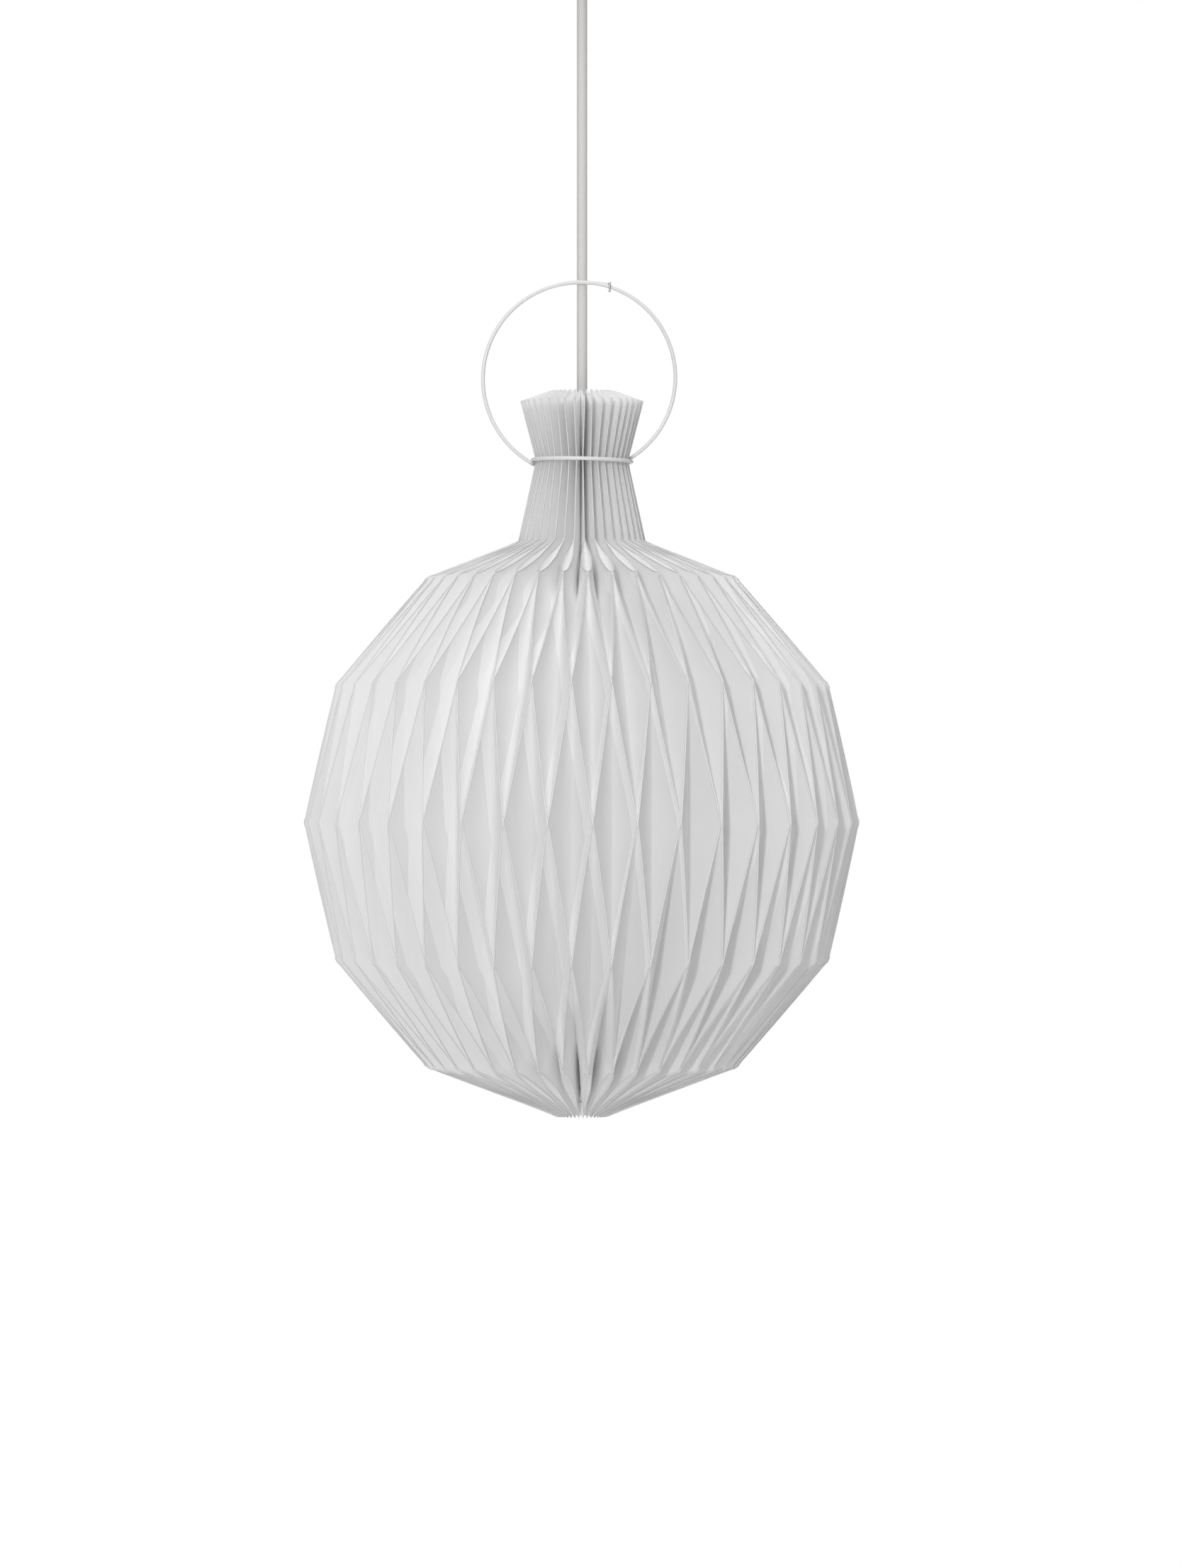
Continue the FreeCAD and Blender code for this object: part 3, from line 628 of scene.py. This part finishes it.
SHEET_GREY, SHEET_SPREAD = 0.81, 0.008
# Greys of painted light and shade on the sheet: lit strips beside the ridges, light in the gathered
# pleats, a fine shade line beside each crest and a highlight along it.
STRIP_PAINTED_LIGHT_GREY, GATHERED_LIGHT_GREY, CREST_SHADE_GREY, CREST_HIGHLIGHT_GREY = 0.965, 0.995, 0.50, 0.995
ONE_STRIP = 0.68              # how light one strip of painted light is, where two overlapping ones are 1
STRIP_EDGE = (1.04, 0.96)     # the soft edge of a painted light strip, in strip widths from the ridge
MM_PER_METRE = 1000.0
CREST_HIGHLIGHT_LINE = ((0.0, 1.0), (0.5, 1.0), (0.66, 0.0))   # painted highlight along each crest: (mm from the ridge, strength)
# painted shade in a fine dark line just beside each crest: (mm from the ridge, strength)
CREST_SHADE_LINE = ((0.55, 0.0), (0.8, 1.0), (1.0, 0.0))
CREST_SHADE_STRENGTH = 0.75
FIBRE_SCALE, CLOUD_SCALE = (900, 60, 1), (60, 9, 1)  # across and along the flattened sheet
FIBRE_SHARE = 0.35            # of the fibres in the sheet's tone, added to the clouds
MIXED_RANGE = (0.35, 0.95)
FIBRE_BUMP, FIBRE_DEPTH = 0.12, 0.00006
SHEET_ROUGHNESS, SHEET_IOR, SHEET_SCATTER = 0.48, 1.45, 0.0005

GRAIN_RANGE = (0.3, 0.7)
CORD_DARK, CORD_LIGHT = (0.70, 0.68, 0.66), (0.84, 0.83, 0.82)
CORD_GRAIN, CORD_ROUGHNESS, CORD_BUMP, CORD_DEPTH = 2600.0, 0.5, 0.5, 0.0001
PLAIN_BUMP, ROUGHNESS_SPREAD = 0.4, 0.15

CAD_LOOKS = {
    "wire_sleeve": dict(colour=(0.90, 0.895, 0.89), roughness=0.3, scale=2500, contrast=0.02,
                        distance=0.00001),
    "wire_core": dict(colour=(0.62, 0.61, 0.60), roughness=0.35, metallic=0.6, scale=2000),
    "white_plastic": dict(colour=(0.78, 0.77, 0.75), roughness=0.35),
    "bracket_steel": dict(colour=(0.60, 0.60, 0.59), roughness=0.38, metallic=1.0),
    "brass": dict(colour=(0.72, 0.55, 0.26), roughness=0.3, metallic=1.0),
    "cap_metal": dict(colour=(0.72, 0.71, 0.69), roughness=0.25, metallic=1.0),
    "insulator": dict(colour=(0.06, 0.06, 0.065), roughness=0.25),
    "terminal_plastic": dict(colour=(0.55, 0.54, 0.52), roughness=0.5),
    "brown_insulation": dict(colour=(0.16, 0.07, 0.03), roughness=0.4),
    "blue_insulation": dict(colour=(0.03, 0.12, 0.42), roughness=0.4),
    "tie_thread": dict(colour=(0.80, 0.79, 0.76), roughness=0.7, scale=4000),
    "opal_glass": dict(colour=(0.85, 0.85, 0.84), roughness=0.12, scale=60, contrast=0.01),
}


def grey(value):
    return (value, value, value)


def greys(stops):
    return [(place, grey(value)) for place, value in stops]


def painted_light_strip_mask(n, axis):
    """1 where a strip of painted light lies beside the ridges of one family, 0 elsewhere."""
    uv = n.add("UVMap", uv_map="strips").outputs["UV"]
    place = n.add("SeparateXYZ", {0: uv}).outputs[axis]
    outside, inside = STRIP_EDGE
    return n.add("MapRange", {"Value": place, "From Min": outside, "From Max": inside}).outputs[0]


def sheet_material():
    n = Nodes("shade_sheet")
    uv = n.add("UVMap", uv_map="sheet").outputs["UV"]
    fibres = n.add("Mapping", {"Vector": uv, "Scale": FIBRE_SCALE}).outputs["Vector"]
    clouds = n.add("Mapping", {"Vector": uv, "Scale": CLOUD_SCALE}).outputs["Vector"]
    fibre = n.noise(fibres, scale=1.0, detail=3.0)
    cloud = n.noise(clouds, scale=1.0, detail=2.0)
    mixed = n.maths("MULTIPLY_ADD", fibre, FIBRE_SHARE, cloud)
    tones = (SHEET_GREY - SHEET_SPREAD, SHEET_GREY + SHEET_SPREAD)
    colour = n.ramp(mixed, greys(zip(MIXED_RANGE, tones)))

    # Painted light: strips lit beside the ridges, lighter where the two families overlap.
    half_count = n.maths("MULTIPLY", n.maths("ADD", painted_light_strip_mask(n, "X"), painted_light_strip_mask(n, "Y")), 0.5)
    strip_painted_light = n.ramp(half_count, greys([(0.0, 0.0), (0.5, ONE_STRIP), (1.0, 1.0)]))
    colour = n.mix(strip_painted_light, colour, grey(STRIP_PAINTED_LIGHT_GREY))
    # Painted light: brightens the deep grooves of the gathered pleats, where shade would fall.
    colour = n.mix(n.value_of("gathered_painted_light"), colour, grey(GATHERED_LIGHT_GREY))

    near_mm = n.maths("MULTIPLY", n.value_of("from_ridge"), MM_PER_METRE)
    # Painted shade: a fine dark line just beside each crest.
    crest_shade = n.maths("MULTIPLY", n.ramp(near_mm, greys(CREST_SHADE_LINE)), CREST_SHADE_STRENGTH)
    colour = n.mix(crest_shade, colour, grey(CREST_SHADE_GREY))
    # Painted highlight: a bright line along each ridge's crest.
    colour = n.mix(n.ramp(near_mm, greys(CREST_HIGHLIGHT_LINE)), colour, grey(CREST_HIGHLIGHT_GREY))
    n.look({
        "Base Color": colour,
        "Roughness": SHEET_ROUGHNESS,
        "IOR": SHEET_IOR,
        "Normal": n.bump(fibre, FIBRE_BUMP, FIBRE_DEPTH),
        "Subsurface Weight": 1.0,
        "Subsurface Radius": (1.0, 1.0, 1.0),
        "Subsurface Scale": SHEET_SCATTER,
    })
    return n.material


def cord_material():
    n = Nodes("cord_jacket")
    grain = n.noise(n.add("TexCoord").outputs["Object"], CORD_GRAIN, detail=3.0)
    n.look({
        "Base Color": n.ramp(grain, [*zip(GRAIN_RANGE, (CORD_DARK, CORD_LIGHT))]),
        "Roughness": CORD_ROUGHNESS,
        "Normal": n.bump(grain, CORD_BUMP, CORD_DEPTH),
    })
    return n.material


def plain_material(name, colour, roughness, metallic=0.0, scale=900.0, contrast=0.06, distance=0.00004):
    n = Nodes(name)
    grain = n.noise(n.add("TexCoord").outputs["Object"], scale, detail=4.0)
    dark = tuple(c * (1 - contrast) for c in colour)
    light = tuple(min(c * (1 + contrast), 1) for c in colour)
    rough = n.add("MapRange", {
        "Value": grain,
        "To Min": roughness * (1 - ROUGHNESS_SPREAD),
        "To Max": roughness * (1 + ROUGHNESS_SPREAD),
    })
    n.look({
        "Base Color": n.ramp(grain, [*zip(GRAIN_RANGE, (dark, light))]),
        "Roughness": rough.outputs[0],
        "Metallic": metallic,
        "Normal": n.bump(grain, PLAIN_BUMP, distance),
    })
    return n.material


def finish_cad_nodes():
    materials = {slot: plain_material(slot, **look) for slot, look in CAD_LOOKS.items()}
    for part in frame["record"]["subparts"]:
        if part["material_slot"] in materials:
            piece = frame["nodes"][part["node"]]
            piece.data.materials.clear()
            piece.data.materials.append(materials[part["material_slot"]])


# ---- Floor and light --------------------------------------------------------------------------

def make_floor():
    bpy.ops.mesh.primitive_circle_add(vertices=FLOOR_SIDES, radius=FLOOR_R, fill_type="NGON",
                                      location=(0, 0, FLOOR_Z))
    floor = bpy.context.object
    floor.name = "floor"
    material = plain_material("floor", FLOOR_COLOUR, roughness=0.8, scale=3, contrast=0.01)
    floor.data.materials.append(material)


def make_world():
    """A pale room, dim at both sides and bright above, with a bright wall straight behind the lamp."""
    world = bpy.data.worlds.new("studio")
    bpy.context.scene.world = world
    world.use_nodes = True
    tree = world.node_tree
    background = tree.nodes["Background"]
    background.inputs["Color"].default_value = (1, 1, 1, 1)
    direction = tree.nodes.new("ShaderNodeTexCoord")
    split = tree.nodes.new("ShaderNodeSeparateXYZ")
    tree.links.new(direction.outputs["Generated"], split.inputs[0])

    def fade(axis, start, end, low, high):
        node = tree.nodes.new("ShaderNodeMapRange")
        node.interpolation_type = "SMOOTHSTEP"
        for socket, value in (("From Min", start), ("From Max", end), ("To Min", low), ("To Max", high)):
            node.inputs[socket].default_value = value
        tree.links.new(split.outputs[axis], node.inputs["Value"])
        return node.outputs["Result"]

    def join(operation, first, second):
        node = tree.nodes.new("ShaderNodeMath")
        node.operation = operation
        tree.links.new(first, node.inputs[0])
        tree.links.new(second, node.inputs[1])
        return node.outputs[0]

    left, right = fade("X", *LEFT_FADE, LEFT_SHARE, 1.0), fade("X", *RIGHT_FADE, 1.0, RIGHT_SHARE)
    sides = join("MULTIPLY", left, right)
    room = join("MULTIPLY", fade("Y", *FRONT_FADE, ROOM_FRONT, ROOM_BACK), sides)
    room = join("MULTIPLY", room, fade("Z", *TOP_FADE, 1.0, TOP_SHARE))
    wall = fade("Y", *BRIGHT_WALL, 0.0, 1.0)
    tree.links.new(join("MAXIMUM", room, wall), background.inputs["Strength"])


def make_key():
    light = bpy.data.lights.new("key", "SUN")
    light.energy = KEY_POWER
    light.angle = KEY_SPREAD
    key = bpy.data.objects.new("key", light)
    bpy.context.collection.objects.link(key)
    level = math.cos(KEY_UP)
    towards = Vector((-math.sin(KEY_LEFT) * level, -math.cos(KEY_LEFT) * level, math.sin(KEY_UP)))
    key.rotation_mode = "QUATERNION"
    key.rotation_quaternion = towards.to_track_quat("Z", "Y")


# ---- Putting it together ------------------------------------------------------------------------

def main():
    make_camera()
    make_cord(cord_material())
    make_shade(sheet_material())
    finish_cad_nodes()
    make_floor()
    make_world()
    make_key()
    bpy.context.scene.view_settings.view_transform = "Standard"
    bpy.context.scene.cycles.diffuse_bounces = DIFFUSE_BOUNCES


main()
